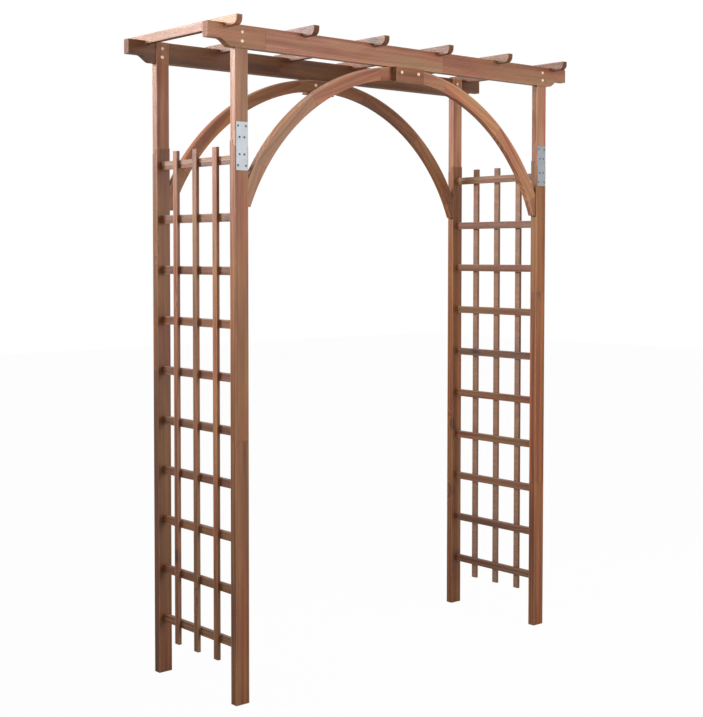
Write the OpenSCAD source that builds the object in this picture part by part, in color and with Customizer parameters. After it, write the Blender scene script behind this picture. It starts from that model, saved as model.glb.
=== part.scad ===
/* [Overall] */
// Height from the ground to the top of the rafters
overall_h = 2144; // [1800:10:2600]
// Width over the outer faces of the posts
frame_w = 1450; // [1200:10:1800]
// Depth over the front and back faces of the posts
frame_d = 470; // [380:10:640]

/* [Posts] */
// Width of a lower post, seen from the front
post_w = 50; // [40:1:62]
// Depth of a lower post from front to back
post_d = 28; // [23:1:40]
// How much slimmer an upper post is, in width and in depth
upper_slimmer = 2; // [0:0.5:4]
// Length of an upper post above the lower shoulder of the splice
upper_len = 372; // [330:1:460]
// Length of the half lap in the splice
splice_lap = 20; // [10:1:40]

/* [Joint plates] */
// Height of a galvanised joint plate
plate_h = 150; // [110:1:180]
// Thickness of a galvanised joint plate
plate_t = 2; // [1.5:0.5:3]
// Bare margin beside a joint plate on the upper post
plate_margin = 2; // [0:0.5:6]

/* [Beams] */
// Height of a beam between the posts
beam_h = 70; // [58:1:84]
// Thickness of a beam
beam_t = 27; // [23:1:34]
// How far a beam's outer face stands proud of the posts
beam_proud = 5; // [2:1:8]
// Depth of the rebate that seats a beam in an upper post
beam_seat = 13; // [8:1:16]
// How far a beam runs past the posts at each end
beam_overhang = 105; // [90:1:140]
// Height of the slim tip at each beam end
beam_tip_h = 48; // [40:1:56]
// Length of the S-shaped step at each beam end
ogee_len = 44; // [34:1:54]
// Distance from the posts to the S-shaped step
ogee_gap = 15; // [6:1:24]

/* [Rafters] */
// Height of a rafter
rafter_h = 30; // [24:1:40]
// Thickness of a rafter
rafter_t = 22; // [16:1:30]
// Depth of the notches that seat a rafter on the beams
rafter_notch = 11; // [5:1:14]
// How far a rafter runs past the beams at each end
rafter_overhang = 61; // [40:1:90]
// Radius of the rounded lower corner at each rafter end
rafter_round = 20; // [8:1:23]
// Distance from the posts' outer faces out to the middle of the end rafters
rafter_outboard = 30; // [18:1:60]

/* [Arches] */
// Width of an arch half, measured across its curve
arch_w = 44; // [36:1:56]
// Thickness of an arch half
arch_t = 22; // [16:1:28]
// How far an arch's outer face lies behind the posts' outer faces
arch_setback = 6; // [2:1:12]
// How much longer the arch's outer radius is than half the clear width
arch_flare = 81; // [60:1:120]
// Height of the upright cut where an arch foot lies on its post
arch_seat_h = 78; // [60:1:100]
// Length of a crown block
block_len = 130; // [108:1:160]
// Height of a crown block
block_h = 50; // [40:1:64]
// Thickness of a crown block
block_t = 26; // [20:1:32]
// How far a crown block hangs below the arch
block_lip = 10; // [2:1:16]

/* [Lattices] */
// Height of the underside of the lowest rail
rail_low_h = 173; // [130:1:220]
// Distance from the top of the highest rail up to the splice
rail_top_gap = 26; // [14:1:50]
// Extra space under the highest rail
top_rail_raise = 11; // [0:1:20]
// Height of a rail
rail_h = 27; // [20:1:34]
// Thickness of a rail
rail_t = 12; // [9:1:15]
// Width of a slat
slat_w = 23; // [18:1:32]
// Thickness of a slat
slat_t = 11; // [8:1:15]
// Distance from a post to the middle of the nearest slat
slat_side = 95; // [70:1:115]
// How far the slats run below the lowest rail
slat_below = 55; // [30:1:80]
// How far the slats run above the highest rail
slat_above = 30; // [14:1:50]

/* [Bolts] */
// Diameter of a bolt's shank
bolt_d = 6; // [5:0.5:8]
// Diameter of a bolt's domed head
bolt_head_d = 13; // [11:0.5:16]
// Height of a bolt's domed head
bolt_head_h = 3.5; // [2.5:0.5:5]
// Distance from a beam's top down to its upper bolts
bolt_top_gap = 22; // [16:1:26]
// Distance between the two bolts at a post
bolt_pitch = 28; // [22:1:34]
// Distance between the two bolts in a crown block
crown_bolt_pitch = 78; // [60:1:94]
// Gap all round between a bolt's shank and its hole
bolt_clearance = 0.3; // [0.3:0.1:0.8]

/* [Hidden] */
$fn = 48;
RAFTER_N = 6;
RAIL_N = 10;
SLAT_N = 3;
OGEE_STEPS = 12;

// The frame stands on z = 0 with its centre on the z axis. Front is -Y and left is -X.
half_w = frame_w / 2;
half_d = frame_d / 2;
beam_top = overall_h - rafter_h + rafter_notch;
beam_low = beam_top - beam_h;
beam_outer_y = half_d + beam_proud;
beam_inner_y = beam_outer_y - beam_t;
seat_y = half_d - beam_seat;
beam_end_x = half_w + beam_overhang;
post_axis_x = half_w - post_w / 2;
upper_w = post_w - upper_slimmer;
upper_d = post_d - upper_slimmer;
lap_t = upper_d / 2;
splice_h = beam_top - upper_len;
splice_top = splice_h + splice_lap;
plate_w = upper_w - 2 * plate_margin;
rafter_half = beam_outer_y + rafter_overhang;
rafter_pitch = 2 * (half_w + rafter_outboard) / (RAFTER_N - 1);
arch_reach = half_w - post_w;
arch_r = arch_reach + arch_flare;
arch_soffit = beam_low - block_h + block_lip;
arch_axis_z = arch_soffit + arch_w - arch_r;
arch_foot_h = arch_axis_z + sqrt(arch_r * arch_r - arch_reach * arch_reach) - arch_seat_h;
arch_outer_y = half_d - arch_setback;
arch_inner_y = arch_outer_y - arch_t;
block_outer_y = arch_outer_y + block_t;
rail_span = frame_d - 2 * post_d;
top_rail_z = splice_h - rail_top_gap - rail_h;
rail_pitch = (top_rail_z - top_rail_raise - rail_low_h) / (RAIL_N - 1);
rail_outer_x = post_axis_x + rail_t / 2;
slat_pitch = (rail_span - 2 * slat_side) / (SLAT_N - 1);
slat_top = splice_h - rail_top_gap + slat_above;
bolt_hole_d = bolt_d + 2 * bolt_clearance;
bolt_zs = [beam_top - bolt_top_gap, beam_top - bolt_top_gap - bolt_pitch];
crown_bolt_z = arch_soffit + arch_w / 2;
nut_across = 1.9 * bolt_d;
nut_h = 0.8 * bolt_d;
// Overshoot of a cutting shape past the face that it cuts
past = 1;

wood = "#9b6238";
pale_wood = "#b07852";
dark_wood = "#7e4d2e";
zinc = "#b9bfc2";

// Turns what is built on the left into its twin on the right, or what is built in front into its
// twin at the back.
module on_side(right) { if (right) mirror([1, 0, 0]) children(); else children(); }
module on_face(back) { if (back) mirror([0, 1, 0]) children(); else children(); }

// A box given by its low and high corners.
module box(low, high) { translate(low) cube(high - low); }

// Holes for bolts along Y at x, one at each given height.
module bolt_holes(x, heights) {
  for (z = heights)
    translate([x, 0, z]) rotate([90, 0, 0])
      cylinder(d = bolt_hole_d, h = 2 * (block_outer_y + past), center = true);
}

// Lower length of the front left post, with the inner half of the splice.
module post_lower() {
  x = -half_w;
  y = -half_d;
  box([x, y, 0], [x + post_w, y + post_d, splice_h]);
  box([x, y + lap_t, splice_h - past], [x + post_w, y + post_d, splice_top]);
}

// Upper length of the front left post, with the outer half of the splice and a rebate that seats
// the beam.
module post_upper() {
  x = -post_axis_x - upper_w / 2;
  y = -half_d;
  difference() {
    union() {
      box([x, y, splice_top], [x + upper_w, y + upper_d, beam_top]);
      box([x, y, splice_h], [x + upper_w, y + lap_t, splice_top + past]);
    }
    box([x - past, y - past, beam_low], [x + upper_w + past, -seat_y, beam_top + past]);
    bolt_holes(-post_axis_x, bolt_zs);
  }
}

// Galvanised plate over the splice of the front left post.
module joint_plate() {
  box([-post_axis_x - plate_w / 2, -half_d - plate_t, splice_h - plate_h / 2],
      [-post_axis_x + plate_w / 2, -half_d, splice_h + plate_h / 2]);
}

// Front view of a beam: slim tips, joined to the deep middle by an S-shaped step.
module beam_outline() {
  step = beam_h - beam_tip_h;
  foot_x = half_w + ogee_gap;
  curve = [for (i = [0:OGEE_STEPS]) let (u = i / OGEE_STEPS)
    [foot_x + ogee_len * u, beam_low + step * (1 - cos(180 * u)) / 2]];
  right = concat(curve, [[beam_end_x, beam_low + step], [beam_end_x, beam_top]]);
  left = [for (i = [len(right) - 1:-1:0]) [-right[i][0], right[i][1]]];
  polygon(concat(right, left));
}

// Beam in the rebates of the front posts. It is notched in turn for what they keep.
module beam() {
  difference() {
    translate([0, -beam_inner_y, 0]) rotate([90, 0, 0]) linear_extrude(beam_t) beam_outline();
    for (side = [-1, 1]) {
      x = side * post_axis_x;
      box([x - upper_w / 2, -seat_y, beam_low - past],
          [x + upper_w / 2, -beam_inner_y + past, beam_top + past]);
      bolt_holes(x, bolt_zs);
    }
  }
}

// Side view of a rafter: rounded lower corners, and a notch over each beam.
module rafter_outline() {
  low = overall_h - rafter_h;
  difference() {
    intersection() {
      union() {
        translate([-rafter_half, low + rafter_round]) square([2 * rafter_half, rafter_h]);
        translate([-rafter_half + rafter_round, low])
          square([2 * (rafter_half - rafter_round), rafter_h]);
        for (side = [-1, 1])
          translate([side * (rafter_half - rafter_round), low + rafter_round])
            circle(rafter_round);
      }
      translate([-rafter_half, low]) square([2 * rafter_half, rafter_h]);
    }
    for (y = [-beam_outer_y, beam_inner_y])
      translate([y, low - past]) square([beam_t, rafter_notch + past]);
  }
}

// Rafter number i, counted from the left.
module rafter(i) {
  x = (i - (RAFTER_N + 1) / 2) * rafter_pitch;
  translate([x - rafter_t / 2, 0, 0]) rotate([90, 0, 90]) linear_extrude(rafter_t) rafter_outline();
}

// Left half of the front arch: part of a ring, cut upright on the post, and level at its foot and
// under the beam.
module arch_half() {
  difference() {
    intersection() {
      translate([0, -arch_inner_y, arch_axis_z]) rotate([90, 0, 0]) difference() {
        cylinder(r = arch_r, h = arch_t);
        translate([0, 0, -past]) cylinder(r = arch_r - arch_w, h = arch_t + 2 * past);
      }
      box([-arch_reach, -half_d, arch_foot_h], [0, 0, beam_top]);
    }
    box([-arch_reach, -half_d, beam_low], [past, 0, beam_top]);
    bolt_holes(-crown_bolt_pitch / 2, [crown_bolt_z]);
  }
}

// Block under the front beam that holds both arch halves at the crown.
module crown_block() {
  difference() {
    box([-block_len / 2, -block_outer_y, beam_low - block_h],
        [block_len / 2, -arch_outer_y, beam_low]);
    for (side = [-1, 1]) bolt_holes(side * crown_bolt_pitch / 2, [crown_bolt_z]);
  }
}

// Left lattice: rails between the posts, with the slats on their outer faces.
module lattice() {
  for (i = [0:RAIL_N - 1]) {
    z = i < RAIL_N - 1 ? rail_low_h + i * rail_pitch : top_rail_z;
    translate([-rail_outer_x, -rail_span / 2, z]) cube([rail_t, rail_span, rail_h]);
  }
  for (i = [0:SLAT_N - 1])
    translate([0, (i - (SLAT_N - 1) / 2) * slat_pitch, 0])
      box([-rail_outer_x - slat_t, -slat_w / 2, rail_low_h - slat_below],
          [-rail_outer_x, slat_w / 2, slat_top]);
}

// Bolt along Y: its domed head seats at y = 0 and faces -Y, its nut seats at y = grip.
module bolt(grip) {
  dome_r = (bolt_head_h * bolt_head_h + bolt_head_d * bolt_head_d / 4) / (2 * bolt_head_h);
  rotate([-90, 0, 0]) {
    cylinder(d = bolt_d, h = grip + nut_h);
    translate([0, 0, grip]) cylinder(d = nut_across, h = nut_h, $fn = 6);
    translate([0, 0, -bolt_head_h]) intersection() {
      cylinder(d = bolt_head_d, h = bolt_head_h);
      translate([0, 0, dome_r]) sphere(dome_r);
    }
  }
}

// The four bolts of a beam. Each passes the wood that starts at y and is grip thick.
module beam_bolts(y, grip) {
  for (side = [-1, 1], z = bolt_zs) translate([side * post_axis_x, y, z]) bolt(grip);
}

// The two bolts of a crown block, one through each arch half.
module crown_bolts(y, grip) {
  for (side = [-1, 1]) translate([side * crown_bolt_pitch / 2, y, crown_bolt_z]) bolt(grip);
}

color(wood) post_lower();  // front_left_post_lower
color(wood) on_side(true) post_lower();  // front_right_post_lower
color(wood) on_face(true) post_lower();  // back_left_post_lower
color(wood) on_side(true) on_face(true) post_lower();  // back_right_post_lower
color(pale_wood) post_upper();  // front_left_post_upper
color(pale_wood) on_side(true) post_upper();  // front_right_post_upper
color(pale_wood) on_face(true) post_upper();  // back_left_post_upper
color(pale_wood) on_side(true) on_face(true) post_upper();  // back_right_post_upper
color(zinc) joint_plate();  // front_left_joint_plate
color(zinc) on_side(true) joint_plate();  // front_right_joint_plate
color(zinc) on_face(true) joint_plate();  // back_left_joint_plate
color(zinc) on_side(true) on_face(true) joint_plate();  // back_right_joint_plate
color(wood) beam();  // front_beam
color(dark_wood) on_face(true) beam();  // back_beam
color(pale_wood) rafter(1);  // rafter_1
color(dark_wood) rafter(2);  // rafter_2
color(dark_wood) rafter(3);  // rafter_3
color(dark_wood) rafter(4);  // rafter_4
color(dark_wood) rafter(5);  // rafter_5
color(dark_wood) rafter(6);  // rafter_6
color(wood) arch_half();  // front_arch_left
color(wood) on_side(true) arch_half();  // front_arch_right
color(wood) on_face(true) arch_half();  // back_arch_left
color(wood) on_side(true) on_face(true) arch_half();  // back_arch_right
color(dark_wood) crown_block();  // front_crown_block
color(dark_wood) on_face(true) crown_block();  // back_crown_block
color(wood) lattice();  // left_lattice
color(wood) on_side(true) lattice();  // right_lattice
color(zinc) beam_bolts(-beam_outer_y, beam_proud + upper_d);  // front_beam_bolts
color(zinc) beam_bolts(half_d - upper_d, beam_proud + upper_d);  // back_beam_bolts
color(zinc) crown_bolts(-block_outer_y, block_t + arch_t);  // front_crown_bolts
color(zinc) crown_bolts(arch_inner_y, block_t + arch_t);  // back_crown_bolts
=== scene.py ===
"""Looks of a garden arch of stained fir: its timber and zinc finishes, plate screws and studio.

Every length is in metres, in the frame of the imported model: x runs along the beams, y from the
front to the back and z upwards.
"""

import logging
import math
from dataclasses import dataclass, field
from enum import Enum
from typing import Any, Iterable, Sequence, Union

import bpy
import numpy as np
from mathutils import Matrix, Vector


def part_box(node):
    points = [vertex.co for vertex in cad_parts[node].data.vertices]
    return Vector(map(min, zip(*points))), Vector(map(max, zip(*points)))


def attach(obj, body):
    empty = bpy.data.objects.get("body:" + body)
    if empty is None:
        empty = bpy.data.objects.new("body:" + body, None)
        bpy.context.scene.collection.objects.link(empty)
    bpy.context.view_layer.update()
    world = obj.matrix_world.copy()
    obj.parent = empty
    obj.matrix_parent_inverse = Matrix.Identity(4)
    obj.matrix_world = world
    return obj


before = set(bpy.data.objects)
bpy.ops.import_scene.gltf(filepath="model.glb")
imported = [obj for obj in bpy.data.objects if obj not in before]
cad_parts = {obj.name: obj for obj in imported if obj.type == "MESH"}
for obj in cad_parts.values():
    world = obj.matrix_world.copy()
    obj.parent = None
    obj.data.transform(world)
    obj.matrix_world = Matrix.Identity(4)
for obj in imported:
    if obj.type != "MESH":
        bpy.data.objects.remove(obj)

LOG = logging.getLogger("garden_arch")
ON_PLANE = 0.0004  # a point this near a plane counts as on it
WHITE = (1.0, 1.0, 1.0)

Colour = tuple[float, float, float]
Point = tuple[float, float, float]
Socket = Any
Value = Union[float, Sequence[float], Socket]


def from_hex(code: str) -> Colour:
    """Turns a display colour into scene-linear light.

    Args:
        code: six hexadecimal digits.

    Returns:
        The red, green and blue parts. Each is (c + 0.055) / 1.055 to the power 2.4, or c / 12.92
        where c is very dark.
    """
    parts = [int(code[i : i + 2], 16) / 255 for i in (0, 2, 4)]
    return tuple(c / 12.92 if c <= 0.04045 else ((c + 0.055) / 1.055) ** 2.4 for c in parts)


class Grain(Enum):
    """The way in which the fibres of a timber run."""

    ALONG_X = "x"
    ALONG_Y = "y"
    ALONG_Z = "z"
    ROUND_ARCH = "arch"


class Wiring:
    """Adds nodes to one node tree and joins them."""

    def __init__(self, tree: bpy.types.NodeTree) -> None:
        """Keeps the tree that the nodes go into."""
        self.tree = tree

    def node(self, kind: str, **settings: Any) -> bpy.types.Node:
        """Adds a node.

        Args:
            kind: its type's name without the ShaderNode prefix.
            settings: properties to set on it.

        Returns:
            The new node.
        """
        made = self.tree.nodes.new("ShaderNode" + kind)
        for name, value in settings.items():
            setattr(made, name, value)
        return made

    def feed(self, socket: Socket, value: Value) -> None:
        """Joins a socket to an input, or sets the input's own value.

        Args:
            socket: the input.
            value: an output socket, a number, or a vector or colour.
        """
        if isinstance(value, bpy.types.NodeSocket):
            self.tree.links.new(value, socket)
        elif isinstance(value, (int, float)):
            socket.default_value = value
        else:
            room = len(socket.default_value)
            socket.default_value = (tuple(value) + (1.0,))[:room]

    def math(self, operation: str, *values: Value, clamp: bool = False) -> Socket:
        """Does arithmetic on numbers.

        Args:
            operation: the Math node's operation.
            values: its inputs in order.
            clamp: whether to keep the result from 0 to 1.

        Returns:
            The result.
        """
        made = self.node("Math", operation=operation, use_clamp=clamp)
        for socket, value in zip(made.inputs, values):
            self.feed(socket, value)
        return made.outputs[0]

    def vector(self, operation: str, *values: Value) -> Socket:
        """Does arithmetic on vectors.

        Args:
            operation: the Vector Math node's operation.
            values: its inputs in order.

        Returns:
            The vector or the number that results.
        """
        made = self.node("VectorMath", operation=operation)
        for socket, value in zip(made.inputs, values):
            self.feed(socket, value)
        return made.outputs["Value" if operation in ("LENGTH", "DOT_PRODUCT") else "Vector"]

    def combine(self, x: Value, y: Value, z: Value) -> Socket:
        """Makes a vector of three numbers.

        Args:
            x: the first.
            y: the second.
            z: the third.

        Returns:
            The vector.
        """
        made = self.node("CombineXYZ")
        for socket, value in zip(made.inputs, (x, y, z)):
            self.feed(socket, value)
        return made.outputs[0]

    def split(self, vector: Socket) -> tuple[Socket, Socket, Socket]:
        """Takes a vector apart.

        Args:
            vector: the vector.

        Returns:
            Its three numbers.
        """
        made = self.node("SeparateXYZ")
        self.feed(made.inputs[0], vector)
        return tuple(made.outputs)

    def noise(self, vector: Socket, scale: float, detail: float, rough: float = 0.5) -> Socket:
        """Reads soft noise from 0 to 1.

        Args:
            vector: where to read it.
            scale: how many features there are in a unit.
            detail: how many finer layers it has.
            rough: how strong the finer layers are.

        Returns:
            The noise.
        """
        made = self.node("TexNoise")
        self.feed(made.inputs["Vector"], vector)
        made.inputs["Scale"].default_value = scale
        made.inputs["Detail"].default_value = detail
        made.inputs["Roughness"].default_value = rough
        return made.outputs["Fac"]

    def cells(self, vector: Socket, scale: Value = 1.0) -> tuple[Socket, Socket]:
        """Reads a pattern of random cells.

        Args:
            vector: where to read it.
            scale: how many cells there are in a unit.

        Returns:
            The distance to the cell's point, and the cell's own random colour.
        """
        made = self.node("TexVoronoi")
        self.feed(made.inputs["Vector"], vector)
        self.feed(made.inputs["Scale"], scale)
        return made.outputs["Distance"], made.outputs["Color"]

    def chance(self, number: Value) -> Socket:
        """Draws a random number that is always the same for the same number.

        Args:
            number: the number to draw for.

        Returns:
            The drawn number, from 0 to 1.
        """
        made = self.node("TexWhiteNoise", noise_dimensions="1D")
        self.feed(made.inputs["W"], number)
        return made.outputs["Value"]

    def ease(self, value: Value, start: float, end: float) -> Socket:
        """Goes smoothly from 0 to 1 as a value passes through a range.

        Args:
            value: the value to read.
            start: where the change starts.
            end: where it ends.

        Returns:
            The eased number.
        """
        made = self.node("MapRange", interpolation_type="SMOOTHSTEP")
        for socket, given in zip(made.inputs, (value, start, end)):
            self.feed(socket, given)
        return made.outputs["Result"]

    def blend(self, share: Value, first: Value, second: Value, mode: str = "MIX") -> Socket:
        """Blends two colours.

        Args:
            share: how much of the second one shows, from 0 to 1.
            first: the colour below.
            second: the colour above.
            mode: the way in which they blend.

        Returns:
            The blended colour.
        """
        made = self.node("Mix", data_type="RGBA", blend_type=mode)
        for index, value in ((0, share), (6, first), (7, second)):
            self.feed(made.inputs[index], value)
        return made.outputs[2]

    def place(self, group: bpy.types.NodeTree, **values: Value) -> bpy.types.Node:
        """Places a node group.

        Args:
            group: the group.
            values: its inputs, with _ for each space in a name.

        Returns:
            The group's node.
        """
        made = self.node("Group")
        made.node_tree = group
        for name, value in values.items():
            self.feed(made.inputs[name.replace("_", " ")], value)
        return made


class Effects:
    """The shader node groups that several finishes share. Each is built once."""

    def __init__(self) -> None:
        """Builds every group."""
        self.fir_grain = self._fir_grain()
        self.arris_wear_and_highlight = self._arris_wear_and_highlight()
        self.stain = self._stain()
        self.zinc_skin = self._zinc_skin()

    @staticmethod
    def _open(name: str, takes: dict[str, str], gives: dict[str, str]) -> tuple[Wiring, Any, Any]:
        """Starts a group.

        Args:
            name: the group's name.
            takes: the name and the type of each input.
            gives: the name and the type of each output.

        Returns:
            The group's wiring, its input sockets and its output sockets.
        """
        tree = bpy.data.node_groups.new(name, "ShaderNodeTree")
        for side, sockets in (("INPUT", takes), ("OUTPUT", gives)):
            for label, kind in sockets.items():
                tree.interface.new_socket(name=label, in_out=side, socket_type="NodeSocket" + kind)
        start = tree.nodes.new("NodeGroupInput")
        end = tree.nodes.new("NodeGroupOutput")
        return Wiring(tree), start.outputs, end.inputs

    def _fir_grain(self) -> bpy.types.NodeTree:
        """Builds softwood grain that runs along the x of its vector.

        The growth rings are cylinders about a wandering pith beside the piece: the distance from
        the pith over the ring pitch gives a phase, and its fraction gives pale early wood that
        darkens into a thin line of late wood. Knots are cells that bulge the rings round them.

        Returns:
            The group.
        """
        w, take, give = self._open(
            "fir_grain",
            {"Vector": "Vector", "Seed": "Float", "Ring Pitch": "Float", "Knots": "Float"},
            {"Late Wood": "Float", "Streak": "Float", "Fibre": "Float", "Blotch": "Float",
             "Knot": "Float", "Knot Rim": "Float"},
        )
        seed = take["Seed"]
        x, y, z = w.split(take["Vector"])
        moved = w.combine(*(w.math("MULTIPLY_ADD", seed, shift, part)
                            for shift, part in ((1.93, x), (0.371, y), (0.217, z))))

        def run(along: float, across: float, detail: float, rough: float = 0.55) -> Socket:
            """Reads noise stretched along the grain, with features 1 / along by 1 / across."""
            spot = w.vector("MULTIPLY", moved, (along, across, across))
            return w.noise(spot, 1.0, detail, rough)

        # a knot is a random few of the cells: its heart, its dark rim and the bulge round it
        spots = w.vector("MULTIPLY", moved, (7.0, 15.0, 15.0))
        wobble = w.noise(spots, 3.0, 2.0)
        far, luck = w.cells(spots)
        far = w.math("ADD", far, w.math("MULTIPLY_ADD", wobble, 0.12, -0.06))
        picked = w.math("GREATER_THAN", take["Knots"], w.split(luck)[0])
        knot = w.math("MULTIPLY", picked, w.ease(far, 0.17, 0.09))
        rim = w.math("MULTIPLY", picked, w.ease(far, 0.30, 0.15))
        bulge = w.math("MULTIPLY", picked, w.ease(far, 0.60, 0.05))

        # the pith lies beside and below the piece, by a random few centimetres
        side = w.math("MULTIPLY_ADD", w.chance(seed), 0.06, 0.012)
        below = w.math("MULTIPLY_ADD", w.chance(w.math("ADD", seed, 7.3)), 0.05, 0.02)
        pith = w.vector("LENGTH", w.combine(0.0, w.math("ADD", y, side), w.math("ADD", z, below)))
        phase = w.math("DIVIDE", pith, take["Ring Pitch"])
        phase = w.math("MULTIPLY_ADD", run(1.3, 7.0, 2.0, 0.5), 3.4, phase)
        phase = w.math("MULTIPLY_ADD", bulge, 3.0, phase)
        ring = w.math("FRACT", phase)
        late = w.math("MULTIPLY", w.ease(ring, 0.25, 0.86), w.ease(ring, 1.0, 0.92))
        self._finish(w, give, {
            "Late Wood": late,
            "Streak": w.ease(run(1.6, 62.0, 3.0), 0.30, 0.70),
            "Fibre": w.ease(run(14.0, 900.0, 3.0, 0.7), 0.28, 0.72),
            "Blotch": w.ease(run(2.6, 14.0, 2.0), 0.28, 0.72),
            "Knot": knot,
            "Knot Rim": rim,
        })
        return w.tree

    @staticmethod
    def _finish(w: Wiring, give: Any, results: dict[str, Socket]) -> None:
        """Joins results to a group's outputs by name."""
        for name, result in results.items():
            w.feed(give[name], result)

    def _arris_wear_and_highlight(self) -> bpy.types.NodeTree:
        """Builds a mask of the long sharp corners of a squared timber.

        In each direction a ramp rises from 0 at one width inside a face to 1 on it. On a face one
        ramp is 1, so the middle one of the three in size says how near the next face is.

        Returns:
            The group.
        """
        w, take, give = self._open(
            "arris_wear_and_highlight",
            {"Vector": "Vector", "Middle": "Vector", "Half Size": "Vector", "Width": "Float"},
            {"Arris": "Float"},
        )
        away = w.vector("ABSOLUTE", w.vector("SUBTRACT", take["Vector"], take["Middle"]))
        past = w.split(w.vector("SUBTRACT", away, take["Half Size"]))
        rough = w.noise(take["Vector"], 38.0, 3.0)
        width = w.math("MULTIPLY", take["Width"], w.math("MULTIPLY_ADD", rough, 1.2, 0.4))
        a, b, c = (w.math("ADD", w.math("DIVIDE", p, width), 1.0, clamp=True) for p in past)
        low = w.math("MAXIMUM", w.math("MULTIPLY", a, b), w.math("MULTIPLY", b, c))
        self._finish(w, give, {"Arris": w.math("MAXIMUM", low, w.math("MULTIPLY", a, c))})
        return w.tree

    def _stain(self) -> bpy.types.NodeTree:
        """Builds the colour, the roughness and the relief of stained softwood from its grain.

        The stain soaks into early wood, so streaks and late wood change its depth. End grain
        drinks most and turns dark and dull. Corners are painted paler, partly as worn wood and
        partly as a painted highlight for the light that rounded edges catch; their relief falls
        away by the square of the mask, which rounds them to the eye.

        Returns:
            The group.
        """
        w, take, give = self._open(
            "stained_softwood",
            {"Pale": "Color", "Deep": "Color", "Knot Colour": "Color", "Tone": "Float",
             "Warmth": "Float", "Late Wood": "Float", "Streak": "Float", "Fibre": "Float",
             "Blotch": "Float", "Knot": "Float", "Knot Rim": "Float", "Arris": "Float",
             "Arris Depth": "Float", "End Grain": "Float", "Seam": "Float"},
            {"Color": "Color", "Roughness": "Float", "Height": "Float"},
        )

        def over(colour: Socket, mask: str, share: float, shown: Value,
                 mode: str = "MIX") -> Socket:
            """Lays another colour over one by a share of a mask."""
            return w.blend(w.math("MULTIPLY", take[mask], share), colour, shown, mode)

        dark = take["Knot Colour"]
        blotch = w.math("MULTIPLY", take["Blotch"], 0.42)
        depth = w.math("MULTIPLY_ADD", take["Streak"], 0.58, blotch)
        colour = w.blend(depth, take["Pale"], take["Deep"])
        colour = over(colour, "Late Wood", 0.34, take["Deep"], "MULTIPLY")
        colour = over(colour, "Late Wood", 0.20, dark)
        streaky = w.math("MULTIPLY_ADD", take["Fibre"], -0.22, 1.10)
        colour = w.blend(1.0, colour, w.combine(streaky, streaky, streaky), "MULTIPLY")
        colour = over(colour, "Knot Rim", 0.45, dark)
        colour = over(colour, "Knot", 0.75, dark)
        # warm wood is yellower, and a blotch is redder than the wood round it
        warm = take["Warmth"]
        tone = take["Tone"]
        flush = w.math("SUBTRACT", take["Blotch"], 0.5)
        red = w.math("MULTIPLY_ADD", flush, 0.26, w.math("MULTIPLY_ADD", warm, 0.05, 1.0))
        green = w.math("MULTIPLY_ADD", flush, -0.06, 1.0)
        blue = w.math("MULTIPLY_ADD", flush, 0.10, w.math("MULTIPLY_ADD", warm, -0.16, 1.0))
        tint = w.combine(*(w.math("MULTIPLY", tone, part) for part in (red, green, blue)))
        colour = w.blend(1.0, colour, tint, "MULTIPLY")
        colour = over(colour, "End Grain", 0.35, dark)
        colour = over(colour, "Seam", 0.55, dark)
        # painted highlight: the corners are lightened partly as worn wood and partly for the light
        # that rounded edges catch
        bare_wood_and_highlight = (0.74, 0.56, 0.42)
        colour = over(colour, "Arris", 0.30, w.blend(0.35, take["Pale"], bare_wood_and_highlight))
        rough = w.math("MULTIPLY_ADD", take["Fibre"], 0.16, 0.40)
        rough = w.math("MULTIPLY_ADD", take["Late Wood"], -0.07, rough)
        rough = w.math("MULTIPLY_ADD", take["End Grain"], 0.25, rough)
        rough = w.math("MULTIPLY_ADD", take["Arris"], 0.10, rough, clamp=True)
        # relief in metres
        height = w.math("MULTIPLY", take["Late Wood"], 0.00022)
        height = w.math("MULTIPLY_ADD", take["Fibre"], 0.00012, height)
        height = w.math("MULTIPLY_ADD", take["Knot"], 0.0003, height)
        height = w.math("MULTIPLY_ADD", take["Seam"], -0.0004, height)
        round_off = w.math("MULTIPLY", take["Arris"], take["Arris"])
        drop = w.math("MULTIPLY", w.math("MULTIPLY", round_off, take["Arris Depth"]), -1.0)
        height = w.math("ADD", height, drop)
        self._finish(w, give, {"Color": colour, "Roughness": rough, "Height": height})
        return w.tree

    def _zinc_skin(self) -> bpy.types.NodeTree:
        """Builds the look of a zinc coat: crystals of a few millimetres, haze and fine scratches.

        Returns:
            The group.
        """
        w, take, give = self._open(
            "zinc_skin",
            {"Vector": "Vector", "Base": "Color", "Crystals": "Float", "Crystal Scale": "Float"},
            {"Color": "Color", "Roughness": "Float", "Height": "Float"},
        )
        vector = take["Vector"]
        flake = w.split(w.cells(vector, take["Crystal Scale"])[1])[0]
        haze = w.ease(w.noise(vector, 26.0, 4.0), 0.3, 0.7)
        lines = w.noise(w.vector("MULTIPLY", vector, (1400.0, 1400.0, 30.0)), 1.0, 3.0)
        spread = w.math("MULTIPLY", take["Crystals"], w.math("SUBTRACT", flake, 0.5))
        light = w.math("ADD", w.math("MULTIPLY_ADD", haze, 0.10, 0.93), spread)
        light = w.math("MULTIPLY_ADD", w.math("SUBTRACT", lines, 0.5), 0.12, light)
        colour = w.blend(1.0, take["Base"], w.combine(light, light, light), "MULTIPLY")
        rough = w.math("MULTIPLY_ADD", haze, 0.12, w.math("MULTIPLY_ADD", flake, 0.10, 0.34))
        height = w.math("MULTIPLY_ADD", lines, 0.00004, w.math("MULTIPLY", flake, 0.00003))
        self._finish(w, give, {"Color": colour, "Roughness": rough, "Height": height})
        return w.tree


def clear_tree(owner: Union[bpy.types.Material, bpy.types.World]) -> Wiring:
    """Empties a node tree.

    Args:
        owner: the material or the world whose tree it is.

    Returns:
        The empty tree's wiring.
    """
    owner.use_nodes = True
    owner.node_tree.nodes.clear()
    return Wiring(owner.node_tree)


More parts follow.
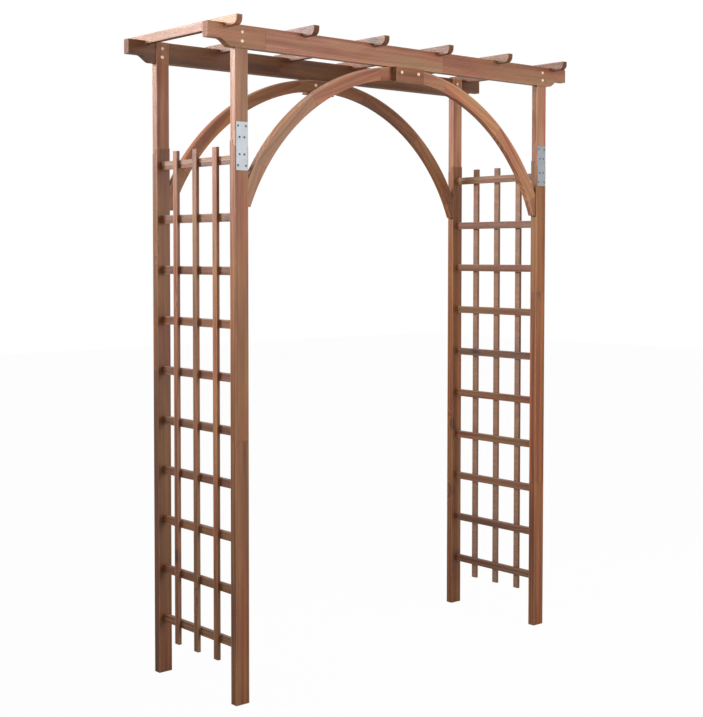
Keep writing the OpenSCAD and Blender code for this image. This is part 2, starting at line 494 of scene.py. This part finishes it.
def new_material(name: str) -> tuple[bpy.types.Material, Wiring, bpy.types.Node, Socket]:
    """Makes a material with a plain shader.

    Args:
        name: its name.

    Returns:
        The material, its wiring, its shader node and the object's own coordinates.
    """
    made = bpy.data.materials.new(name)
    w = clear_tree(made)
    shader = w.node("BsdfPrincipled")
    out = w.node("OutputMaterial")
    w.feed(out.inputs["Surface"], shader.outputs[0])
    return made, w, shader, w.node("TexCoord").outputs["Object"]


def surface(w: Wiring, shader: bpy.types.Node, look: bpy.types.Node) -> None:
    """Gives a shader the colour, the roughness and the relief that a placed group puts out.

    Args:
        w: the material's wiring.
        shader: its shader.
        look: the group's node.
    """
    w.feed(shader.inputs["Base Color"], look.outputs["Color"])
    w.feed(shader.inputs["Roughness"], look.outputs["Roughness"])
    bump = w.node("Bump")
    bump.inputs["Distance"].default_value = 1.0
    w.feed(bump.inputs["Height"], look.outputs["Height"])
    w.feed(shader.inputs["Normal"], bump.outputs["Normal"])


def dress(node: str, material: bpy.types.Material) -> None:
    """Gives every material slot of a CAD node the same finish."""
    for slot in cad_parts[node].material_slots:
        slot.material = material


def corners_of(node: str) -> np.ndarray:
    """Reads the points of a CAD node's mesh.

    Args:
        node: the node's name.

    Returns:
        The points, one to a row.
    """
    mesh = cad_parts[node].data
    points = np.empty(len(mesh.vertices) * 3)
    mesh.vertices.foreach_get("co", points)
    return points.reshape(-1, 3)


@dataclass(frozen=True)
class TimberFinish:
    """Stained fir: two stain depths, knots, rings, how its boards differ, and painted light on
    slats.
    """

    name: str
    pale: Colour
    deep: Colour
    knot: Colour = from_hex("3a1f12")
    knots: float = 0.10
    ring_pitch: float = 0.0042
    sheen: float = 0.06
    sheen_roughness: float = 0.38
    gloss: float = 0.32
    arris: float = 0.0035
    arris_depth: float = 0.0009
    seam_width: float = 0.0006
    finger: float = 0.004
    darkest_board: float = 0.83
    tone_spread: float = 0.34
    warmth_spread: float = 2.4
    # painted light: how much lighter the lattice slats are made than the rails, for the light they
    # catch
    slat_painted_light: float = 0.2

    def material(
        self,
        effects: Effects,
        node: str,
        grain: Grain,
        seed: float,
        tone: float = 1.0,
        warmth: float = 0.0,
        joints: Iterable[float] = (),
        arch: Union["Arches", None] = None,
        lattice: Union["Lattices", None] = None,
    ) -> bpy.types.Material:
        """Makes the finish for one node, whose box sets the corners and the joints.

        Args:
            effects: the shared node groups.
            node: the CAD node.
            grain: the way its fibres run.
            seed: a number that makes its pattern its own.
            tone: how light it is.
            warmth: how orange it is.
            joints: where finger joints lie, as shares of its length.
            arch: the arches, if the node is an arch half.
            lattice: the lattices, if the node is one.

        Returns:
            The material.
        """
        made, w, shader, here = new_material(f"{self.name}_{node}")
        low, high = (np.array(corner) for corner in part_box(node))
        middle, half = (low + high) / 2, (high - low) / 2
        normal = w.split(w.node("NewGeometry").outputs["Normal"])
        x, y, z = w.split(here)
        part: Value = 0.0
        if arch is not None:
            along, seam, part, corner_at = arch.lay_out(w, here)
            end = 0.0
            middle, half = arch.section(node)
        elif lattice is not None:
            along, part, corner_at, middle, half = lattice.lay_out(w, here)
            seam = 0.0
            end = w.ease(w.math("ABSOLUTE", normal[2]), 0.8, 0.95)
            end = w.math("MULTIPLY", end, lattice.slat_mask(w, here))
        else:
            axis = {"x": 0, "y": 1, "z": 2}[grain.value]
            order = {"x": (x, y, z), "y": (y, x, z), "z": (z, x, y)}[grain.value]
            along = w.combine(*order)
            end = w.ease(w.math("ABSOLUTE", normal[axis]), 0.8, 0.95)
            seam = 0.0
            for share in joints:
                cut = float(low[axis] + share * (high[axis] - low[axis]))
                zigzag = w.math("PINGPONG", order[1], self.finger)
                gap = w.math("SUBTRACT", order[0], cut)
                gap = w.math("ADD", gap, w.math("MULTIPLY_ADD", zigzag, 2.0, -self.finger))
                part = w.math("ADD", part, w.math("GREATER_THAN", gap, 0.0))
                line = w.ease(w.math("ABSOLUTE", gap), self.seam_width * 2, self.seam_width / 2)
                seam = w.math("MAXIMUM", seam, line)
            corner_at = here
        # each board draws its own number, and from it how light and how warm it is
        own = w.math("MULTIPLY_ADD", part, 3.71, seed)
        shade = w.math("MULTIPLY_ADD", w.chance(w.math("ADD", own, 0.5)),
                       self.tone_spread * tone, self.darkest_board * tone)
        warm = w.math("MULTIPLY_ADD", w.chance(own), self.warmth_spread, -self.warmth_spread / 2)
        # painted light: slats are lightened over the rails to stand for the light that falls on
        # them
        if lattice is not None:
            slat_light_factor = w.math("MULTIPLY_ADD", lattice.slat_mask(w, here), self.slat_painted_light, 1.0)
            shade = w.math("MULTIPLY", shade, slat_light_factor)
        grown = w.place(effects.fir_grain, Vector=along, Seed=own, Ring_Pitch=self.ring_pitch,
                        Knots=self.knots)
        # the corner mask, which paints worn wood and a highlight onto the corners and rounds their
        # relief
        edge_wear_and_highlight = w.place(effects.arris_wear_and_highlight, Vector=corner_at, Middle=tuple(middle),
                       Half_Size=tuple(half), Width=self.arris)
        stain = w.place(
            effects.stain,
            Pale=self.pale, Deep=self.deep, Knot_Colour=self.knot,
            Tone=shade, Warmth=w.math("ADD", warm, warmth),
            Arris=edge_wear_and_highlight.outputs["Arris"], Arris_Depth=self.arris_depth, End_Grain=end, Seam=seam,
            **{name.replace(" ", "_"): grown.outputs[name]
               for name in ("Late Wood", "Streak", "Fibre", "Blotch", "Knot", "Knot Rim")},
        )
        surface(w, shader, stain)
        shader.inputs["Specular IOR Level"].default_value = self.gloss
        shader.inputs["Coat Weight"].default_value = self.sheen
        shader.inputs["Coat Roughness"].default_value = self.sheen_roughness
        return made


@dataclass(frozen=True)
class ZincFinish:
    """Zinc-coated steel."""

    name: str
    base: Colour
    crystals: float
    crystal_scale: float
    metal: float = 0.85

    def material(self, effects: Effects) -> bpy.types.Material:
        """Makes the finish from the shared zinc group.

        Args:
            effects: the shared node groups.

        Returns:
            The material.
        """
        made, w, shader, here = new_material(self.name)
        skin = w.place(effects.zinc_skin, Vector=here, Base=self.base, Crystals=self.crystals,
                       Crystal_Scale=self.crystal_scale)
        surface(w, shader, skin)
        shader.inputs["Metallic"].default_value = self.metal
        return made


LIGHT_FIR = TimberFinish("light_fir", from_hex("b67e5b"), from_hex("764126"))
BROWN_FIR = TimberFinish("brown_fir", from_hex("9a5f34"), from_hex("583017"))
DARK_FIR = TimberFinish("dark_fir", from_hex("7f4b24"), from_hex("48250e"))
LATTICE_FIR = TimberFinish("lattice_fir", from_hex("8e5f43"), from_hex("55321e"))
GALVANISED = ZincFinish("galvanised_steel", from_hex("878b8f"), 0.12, 170.0, 0.5)
BRIGHT_ZINC = ZincFinish("bright_zinc", from_hex("cdb199"), 0.03, 400.0)
DULL_ZINC = ZincFinish("dull_zinc", from_hex("4f5356"), 0.04, 400.0)

SIDES = ("left", "right")
FACES = ("front", "back")


@dataclass
class Posts:
    """The four posts, each of a lower and an upper length joined by a half lap."""

    lower_joints: dict[str, tuple[float, ...]] = field(default_factory=lambda: {
        "front_left": (0.47,), "front_right": (0.31, 0.72),
        "back_left": (0.58,), "back_right": (0.4,),
    })
    lower_tones: dict[str, float] = field(default_factory=lambda: {
        "front_left": 1.0, "front_right": 0.9, "back_left": 0.64, "back_right": 0.96,
    })
    upper_tones: dict[str, float] = field(default_factory=lambda: {
        "front_left": 0.8, "front_right": 0.9, "back_left": 0.74, "back_right": 1.04,
    })

    def dress(self, effects: Effects) -> int:
        """Gives each length its own stained fir.

        Args:
            effects: the shared node groups.

        Returns:
            How many lengths there are.
        """
        for index, (corner, joints) in enumerate(self.lower_joints.items()):
            lower, upper = corner + "_post_lower", corner + "_post_upper"
            dress(lower, BROWN_FIR.material(effects, lower, Grain.ALONG_Z, 2.3 + index * 5.1,
                                            self.lower_tones[corner], 0.8, joints))
            dress(upper, LIGHT_FIR.material(effects, upper, Grain.ALONG_Z, 40.7 + index * 3.3,
                                            self.upper_tones[corner], 0.3))
        return 2 * len(self.lower_joints)


@dataclass
class JointPlates:
    """The zinc-coated plates over the post splices, each held by eight cross-headed screws.

    The screws lie in rows of two. A row's place is a share of the plate's height from its top and
    a share of its width to each side of the middle.
    """

    head_radius: float = 0.0036
    head_height: float = 0.0016
    dome: float = 0.92
    recess: float = 0.0009
    recess_wall: float = 0.00025
    slot_half_width: float = 0.00055
    slot_reach: float = 0.62
    sunk: float = 0.0001
    rows: tuple[float, ...] = (0.085, 0.318, 0.671, 0.90)
    spans: tuple[float, ...] = (0.345, 0.21, 0.21, 0.345)
    first_turn: float = 0.3
    turn_step: float = 0.83
    around: int = 48
    across: int = 12

    def head(self) -> tuple[np.ndarray, np.ndarray, np.ndarray]:
        """Works out one screw head that faces +Z with its back at z = 0.

        The profile is a flat ellipse's arc over the radius R: z = height times the square root of
        1 - (dome r / R) squared. The cross is sunk where either coordinate is within half a slot
        of the middle and the other is within the slot's reach times R, with soft walls.

        Returns:
            The points, the four-sided faces and the triangles round the two poles that close it.
        """
        share = np.linspace(0.0, 1.0, self.across + 1)[1:]
        turn = np.linspace(0.0, 2 * np.pi, self.around, endpoint=False)
        r, t = np.meshgrid(share * self.head_radius, turn, indexing="ij")
        x, y = r * np.cos(t), r * np.sin(t)

        def wall(distance: np.ndarray, edge: float) -> np.ndarray:
            """Falls evenly from 1 to 0 over the wall's width at the edge."""
            return np.clip((edge - distance) / self.recess_wall + 0.5, 0.0, 1.0)

        reach = self.slot_reach * self.head_radius
        cross = np.maximum(wall(abs(x), self.slot_half_width) * wall(abs(y), reach),
                           wall(abs(y), self.slot_half_width) * wall(abs(x), reach))
        z = self.head_height * np.sqrt(1 - (self.dome * r / self.head_radius) ** 2)
        z -= self.recess * cross
        top = np.stack([x, y, z], axis=-1).reshape(-1, 3)
        back = top[-self.around :] * np.array([1.0, 1.0, 0.0])
        poles = np.array([[0, 0, self.head_height - self.recess], [0, 0, 0.0]])
        points = np.concatenate([top, back, poles])
        i, j = np.meshgrid(np.arange(self.across), np.arange(self.around), indexing="ij")
        k = (j + 1) % self.around
        quads = np.stack([i * self.around + j, (i + 1) * self.around + j,
                          (i + 1) * self.around + k, i * self.around + k], axis=-1).reshape(-1, 4)
        j = np.arange(self.around)
        k = (j + 1) % self.around
        top_pole, back_pole = len(points) - 2, len(points) - 1
        last = self.across * self.around
        fans = np.concatenate([np.stack([np.full_like(j, top_pole), j, k], axis=-1),
                               np.stack([np.full_like(j, back_pole), last + k, last + j], axis=-1)])
        return points, quads, fans

    def build(self, corner: str, finish: bpy.types.Material) -> bpy.types.Object:
        """Builds the eight screw heads of one plate as one piece.

        Args:
            corner: the corner whose plate they hold.
            finish: their material.

        Returns:
            The piece, with each head turned by its own angle and laid on the plate's outer face.
        """
        low, high = (np.array(p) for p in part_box(corner + "_joint_plate"))
        points, quads, fans = self.head()
        middle, width, tall = (low[0] + high[0]) / 2, high[0] - low[0], high[2] - low[2]
        seats = np.array([
            [middle + side * width * span, high[2] - tall * row]
            for row, span in zip(self.rows, self.spans) for side in (-1, 1)
        ])
        angle = np.arange(len(seats)) * self.turn_step + self.first_turn
        cos, sin = np.cos(angle)[:, None], np.sin(angle)[:, None]
        px, py, pz = points.T
        out, face_y = (-1.0, low[1]) if corner.startswith("front") else (1.0, high[1])
        x = seats[:, :1] + (px * cos - py * sin) * -out
        z = seats[:, 1:] + (px * sin + py * cos)
        y = np.broadcast_to(face_y + out * (pz - self.sunk), x.shape)
        heads = np.stack([x, y, z], axis=-1).reshape(-1, 3)
        first = (np.arange(len(seats)) * len(points))[:, None, None]
        faces = [face for part in (quads, fans)
                 for face in (part + first).reshape(-1, part.shape[1]).tolist()]
        name = corner + "_plate_screws"
        mesh = bpy.data.meshes.new(name)
        mesh.from_pydata(heads.tolist(), [], faces)
        mesh.polygons.foreach_set("use_smooth", np.ones(len(mesh.polygons), dtype=bool))
        mesh.materials.append(finish)
        mesh.update()
        piece = bpy.data.objects.new(name, mesh)
        bpy.context.scene.collection.objects.link(piece)
        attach(piece, "root")
        return piece

    def dress(self, effects: Effects) -> int:
        """Gives the plates their zinc and adds their screws.

        Args:
            effects: the shared node groups.

        Returns:
            How many screws there are.
        """
        plate, screw = GALVANISED.material(effects), DULL_ZINC.material(effects)
        for face in FACES:
            for side in SIDES:
                dress(f"{face}_{side}_joint_plate", plate)
                self.build(f"{face}_{side}", screw)
        return len(FACES) * len(SIDES) * 2 * len(self.rows)


@dataclass
class Beams:
    """The two beams with their S-shaped ends, and the crown blocks below them."""

    front_joints: tuple[float, ...] = (0.13, 0.60)
    back_joints: tuple[float, ...] = (0.38, 0.81)

    def dress(self, effects: Effects) -> int:
        """Gives the beams and the crown blocks their stain.

        Args:
            effects: the shared node groups.

        Returns:
            How many pieces they are.
        """
        front, back = "front_beam", "back_beam"
        dress(front, LIGHT_FIR.material(effects, front, Grain.ALONG_X, 11.9, 0.85, 0.8,
                                        self.front_joints))
        dress(back, DARK_FIR.material(effects, back, Grain.ALONG_X, 23.4, 0.9, 1.3,
                                      self.back_joints))
        for index, face in enumerate(FACES):
            node = face + "_crown_block"
            dress(node, BROWN_FIR.material(effects, node, Grain.ALONG_X, 61.2 + index, 0.88, 1.4))
        return 2 * len(FACES)


@dataclass
class Rafters:
    """The six notched rafters over the beams, the first of a paler board than the others."""

    joints: tuple[tuple[float, ...], ...] = ((0.30, 0.66), (0.52,), (0.24,), (), (0.61,), (0.35,))

    def dress(self, effects: Effects) -> int:
        """Gives each rafter its own stain.

        Args:
            effects: the shared node groups.

        Returns:
            How many rafters there are.
        """
        for number, joints in enumerate(self.joints, start=1):
            node = f"rafter_{number}"
            finish, tone = (LIGHT_FIR, 0.70) if number == 1 else (BROWN_FIR, 0.58)
            dress(node, finish.material(effects, node, Grain.ALONG_Y, 71.0 + number * 2.9, tone,
                                        1.2, joints))
        return len(self.joints)


@dataclass
class Arches:
    """The four arch halves, cut from boards that are finger-jointed at even angles."""

    segment: float = math.radians(24.0)
    first_seam: float = 0.37
    finger: float = 0.004
    width: float = 0.044
    radius: float = 0.0
    axis_z: float = 0.0

    def measure(self) -> None:
        """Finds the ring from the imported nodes.

        The outer edge passes the crown at height c, and meets the post at x = a and the height h
        where the outer curve ends. A circle about (0, z) through both has the radius
        r = c - z, and z solves (c - z) squared = a squared + (h - z) squared.
        """
        low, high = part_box("front_arch_left")
        points = corners_of("front_arch_left")
        on_post = points[abs(points[:, 0] - low[0]) < ON_PLANE]
        reach, height, crown = abs(low[0]), on_post[:, 2].max(), high[2]
        self.axis_z = float((crown**2 - reach**2 - height**2) / (2 * (crown - height)))
        self.radius = float(crown - self.axis_z)

    def lay_out(self, w: Wiring, here: Socket) -> tuple[Socket, Socket, Socket, Socket]:
        """Lays the grain straight along the chord of each board in the ring.

        Args:
            w: the material's wiring.
            here: the object's coordinates.

        Returns:
            The grain's vector, the seam mask, the board's number, and a squared vector of the
            angle, the depth and the radius for the corner wear and painted highlight.
        """
        x, y, z = w.split(here)
        up = w.math("SUBTRACT", z, self.axis_z)
        angle = w.math("ARCTAN2", x, up)
        turns = w.math("ADD", w.math("DIVIDE", angle, self.segment), self.first_seam)
        board = w.math("FLOOR", turns)
        centre = w.math("MULTIPLY", w.math("ADD", board, 0.5 - self.first_seam), self.segment)
        cos, sin = w.math("COSINE", centre), w.math("SINE", centre)
        run = w.math("SUBTRACT", w.math("MULTIPLY", x, cos), w.math("MULTIPLY", up, sin))
        rise = w.math("ADD", w.math("MULTIPLY", x, sin), w.math("MULTIPLY", up, cos))
        into = w.math("PINGPONG", w.math("FRACT", turns), 0.5)
        zigzag = w.math("MULTIPLY", w.math("PINGPONG", y, self.finger), 0.012)
        seam = w.ease(w.math("ADD", into, zigzag), 0.0030, 0.0008)
        ring = w.vector("LENGTH", w.combine(x, 0.0, up))
        return w.combine(run, y, rise), seam, board, w.combine(0.0, y, ring)

    def section(self, node: str) -> tuple[Point, Point]:
        """Measures an arch's section as depth and radius, for the corner wear and painted
        highlight.

        Args:
            node: the arch half's name.

        Returns:
            Its middle and its half size. The first number, along the arch, is past any angle.
        """
        low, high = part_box(node)
        return ((0.0, (low[1] + high[1]) / 2, self.radius - self.width / 2),
                (1.0, (high[1] - low[1]) / 2, self.width / 2))

    def dress(self, effects: Effects) -> int:
        """Gives each arch half its own boards.

        Args:
            effects: the shared node groups.

        Returns:
            How many halves there are.
        """
        self.measure()
        looks = {"front": (LIGHT_FIR, 0.87, 0.4), "back": (BROWN_FIR, 0.94, 0.8)}
        for index, (face, side) in enumerate((f, s) for f in FACES for s in SIDES):
            node = f"{face}_arch_{side}"
            finish, tone, warmth = looks[face]
            dress(node, finish.material(effects, node, Grain.ROUND_ARCH, 90.1 + index * 6.7, tone,
                                        warmth, arch=self))
        return len(FACES) * len(SIDES)


@dataclass
class Lattices:
    """The two side lattices of level rails with upright slats outside them."""

    slat_depth: float = 0.011
    slat_width: float = 0.023
    rail_height: float = 0.027
    rails: int = 10
    slats: int = 3
    top_raise: float = 0.011
    outer: float = 0.0
    inner: float = 0.0
    low_rail: float = 0.0
    rail_pitch: float = 0.0
    slat_pitch: float = 0.0

    def measure(self, node: str) -> None:
        """Takes the depths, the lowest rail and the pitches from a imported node.

        Only rails reach the ends of the lattice, and only slats reach its outer face. The top
        rail stands higher than its pitch by its own raise.

        Args:
            node: the lattice's name.
        """
        low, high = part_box(node)
        self.inner, self.outer = sorted((abs(low[0]), abs(high[0])))
        points = corners_of(node)
        at_end = points[abs(points[:, 1] - low[1]) < ON_PLANE][:, 2]
        self.low_rail = float(at_end.min())
        span = float(at_end.max()) - self.rail_height - self.top_raise - self.low_rail
        self.rail_pitch = span / (self.rails - 1)
        outermost = points[abs(abs(points[:, 0]) - self.outer) < ON_PLANE][:, 1]
        self.slat_pitch = float(outermost.max() - self.slat_width / 2)

    def slat_mask(self, w: Wiring, here: Socket) -> Socket:
        """Tells slats from rails by how far out a point lies.

        Args:
            w: the material's wiring.
            here: the object's coordinates.

        Returns:
            1 on the slats and 0 on the rails.
        """
        x = w.math("ABSOLUTE", w.split(here)[0])
        return w.math("GREATER_THAN", x, self.outer - self.slat_depth + ON_PLANE / 4)

    def lay_out(self, w: Wiring, here: Socket) -> tuple[Socket, Socket, Socket, Point, Point]:
        """Lays the grain along each bar.

        Args:
            w: the material's wiring.
            here: the object's coordinates.

        Returns:
            The grain's vector, the bar's number, a vector across the bar with its middle and
            half size for the corner wear and painted highlight.
        """
        x, y, z = w.split(here)
        slat = self.slat_mask(w, here)
        rail = w.math("SUBTRACT", 1.0, slat)
        out = w.math("ABSOLUTE", x)

        def choose(on_slat: Value, on_rail: Value) -> Socket:
            """Takes one number on a slat and another on a rail."""
            return w.math("ADD", w.math("MULTIPLY", slat, on_slat),
                          w.math("MULTIPLY", rail, on_rail))

        rail_at = w.math("DIVIDE", w.math("SUBTRACT", z, self.low_rail + self.rail_height / 2),
                         self.rail_pitch)
        rail_no = w.math("ROUND", rail_at)
        rail_off = w.math("MULTIPLY", w.math("SUBTRACT", rail_at, rail_no), self.rail_pitch)
        slat_at = w.math("DIVIDE", y, self.slat_pitch)
        slat_no = w.math("ROUND", slat_at)
        slat_off = w.math("MULTIPLY", w.math("SUBTRACT", slat_at, slat_no), self.slat_pitch)
        chosen = w.node("Mix", data_type="VECTOR")
        for index, value in ((0, slat), (4, w.combine(y, z, x)), (5, w.combine(z, y, x))):
            w.feed(chosen.inputs[index], value)
        # the slats' numbers start past those of the rails
        number = choose(w.math("ADD", slat_no, 23.0), rail_no)
        wide = choose(w.math("DIVIDE", slat_off, self.slat_width),
                      w.math("DIVIDE", rail_off, self.rail_height))
        seat = self.outer - self.slat_depth
        thick = choose(
            w.math("DIVIDE", w.math("SUBTRACT", out, (self.outer + seat) / 2), self.slat_depth),
            w.math("DIVIDE", w.math("SUBTRACT", out, (self.inner + seat) / 2), seat - self.inner),
        )
        across = w.combine(0.0, w.math("MULTIPLY", wide, self.rail_height),
                           w.math("MULTIPLY", thick, self.slat_depth))
        half = (1.0, self.rail_height / 2, self.slat_depth / 2)
        return chosen.outputs[1], number, across, (0.0, 0.0, 0.0), half

    def dress(self, effects: Effects) -> int:
        """Gives each lattice its stain, and each bar of it its own draw.

        Args:
            effects: the shared node groups.

        Returns:
            How many bars there are.
        """
        for index, side in enumerate(SIDES):
            node = side + "_lattice"
            self.measure(node)
            dress(node, LATTICE_FIR.material(effects, node, Grain.ALONG_Z, 31.7 + index * 50.3,
                                             lattice=self))
        return len(SIDES) * (self.rails + self.slats)


@dataclass
class Bolts:
    """The bolts of the beams and of the crown blocks."""

    places: tuple[str, ...] = ("beam", "crown")

    def dress(self, effects: Effects) -> int:
        """Gives the bolts bright zinc.

        Args:
            effects: the shared node groups.

        Returns:
            How many nodes they are.
        """
        finish = BRIGHT_ZINC.material(effects)
        for face in FACES:
            for place in self.places:
                dress(f"{face}_{place}_bolts", finish)
        return len(FACES) * len(self.places)


@dataclass(frozen=True)
class Lamp:
    """A square softbox: where it hangs and faces, its side, its watts and its grid's angle."""

    name: str
    at: Point
    towards: Point
    size: float
    power: float
    spread: float = 180.0

    def hang(self) -> None:
        """Makes the lamp and turns it from straight down to face its point."""
        light = bpy.data.lights.new(self.name, "AREA")
        light.size = self.size
        light.energy = self.power
        light.spread = math.radians(self.spread)
        lamp = bpy.data.objects.new(self.name, light)
        lamp.location = self.at
        x, y, z = (b - a for a, b in zip(self.at, self.towards))
        lamp.rotation_euler = (math.atan2(math.hypot(x, y), -z), 0.0, math.atan2(-x, y))
        bpy.context.scene.collection.objects.link(lamp)


@dataclass
class Studio:
    """A plain pale floor, soft lamps and the camera."""

    lamps: tuple[Lamp, ...] = (
        Lamp("key_lamp", (-3.5, 2.6, 3.3), (-1.0, 0.0, 2.65), 1.6, 56.0, 64.0),
        Lamp("front_lamp", (0.9, -4.8, 2.1), (0.0, 0.0, 0.9), 2.4, 190.0),
        Lamp("side_lamp", (-4.2, -0.8, 3.2), (-0.6, 0.0, 2.6), 1.2, 17.0, 70.0),
    )
    camera_at: Point = (-3.1575, -3.5920, 1.4149)
    yaw: float = 0.7139
    pitch: float = 0.0407
    roll: float = -0.0009
    lens: float = 68.26
    shift: float = -0.0695
    ambient: float = 0.48
    floor_reach: float = 14.0
    floor_drop: float = 0.0005
    floor_grey: float = 0.72
    floor_white: float = 0.97

    def floor(self) -> None:
        """Lays a floor whose colour is near white. It keeps a faint shadow to the camera."""
        name, far, deep = "studio_floor", self.floor_reach, -self.floor_drop
        mesh = bpy.data.meshes.new(name)
        mesh.from_pydata([(-far, -far, deep), (far, -far, deep), (far, far, deep),
                          (-far, far, deep)], [], [(0, 1, 2, 3)])
        made = bpy.data.materials.new(name)
        w = clear_tree(made)
        soft = w.node("BsdfDiffuse")
        w.feed(soft.inputs["Color"], (self.floor_grey,) * 3)
        glow = w.node("Emission")
        w.feed(glow.inputs["Color"], WHITE)
        both = w.node("MixShader")
        path = w.node("LightPath")
        share = w.math("MULTIPLY", path.outputs["Is Camera Ray"], self.floor_white)
        w.feed(both.inputs[0], share)
        w.feed(both.inputs[1], soft.outputs[0])
        w.feed(both.inputs[2], glow.outputs[0])
        out = w.node("OutputMaterial")
        w.feed(out.inputs["Surface"], both.outputs[0])
        mesh.materials.append(made)
        floor = bpy.data.objects.new(name, mesh)
        bpy.context.scene.collection.objects.link(floor)

    def sky(self) -> None:
        """Sets an even grey light all round, which the camera sees as white."""
        world = bpy.data.worlds.new("studio")
        w = clear_tree(world)
        path = w.node("LightPath")
        seen = w.math("MAXIMUM", path.outputs["Is Camera Ray"], path.outputs["Is Glossy Ray"])
        seen = w.math("MAXIMUM", seen, path.outputs["Is Transmission Ray"])
        back = w.node("Background")
        w.feed(back.inputs["Color"], WHITE)
        w.feed(back.inputs["Strength"],
               w.math("MULTIPLY_ADD", seen, 1.0 - self.ambient, self.ambient))
        out = w.node("OutputWorld")
        w.feed(out.inputs["Surface"], back.outputs[0])
        bpy.context.scene.world = world

    def camera(self) -> None:
        """Sets up the camera level with the arch's middle, in front of its left side."""
        lens = bpy.data.cameras.new("camera")
        lens.sensor_fit = "HORIZONTAL"
        lens.sensor_width = 36.0
        lens.lens = self.lens
        lens.shift_y = self.shift
        camera = bpy.data.objects.new("camera", lens)
        camera.location = self.camera_at
        camera.rotation_euler = (math.pi / 2 - self.pitch, self.roll, -self.yaw)
        bpy.context.scene.collection.objects.link(camera)
        bpy.context.scene.camera = camera

    def build(self) -> None:
        """Sets up the whole studio."""
        bpy.context.scene.view_settings.view_transform = "Standard"
        self.floor()
        self.sky()
        for lamp in self.lamps:
            lamp.hang()
        self.camera()


def main() -> None:
    """Builds the looks piece by piece."""
    logging.basicConfig(level=logging.INFO, format="%(name)s: %(message)s")
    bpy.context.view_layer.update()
    effects = Effects()
    Studio().build()
    parts = {
        "post lengths": Posts(), "plate screws": JointPlates(), "beams and blocks": Beams(),
        "rafters": Rafters(), "arch halves": Arches(), "lattice bars": Lattices(),
        "bolt sets": Bolts(),
    }
    for name, part in parts.items():
        LOG.info("%s: %d", name, part.dress(effects))


if __name__ == "__main__":
    main()
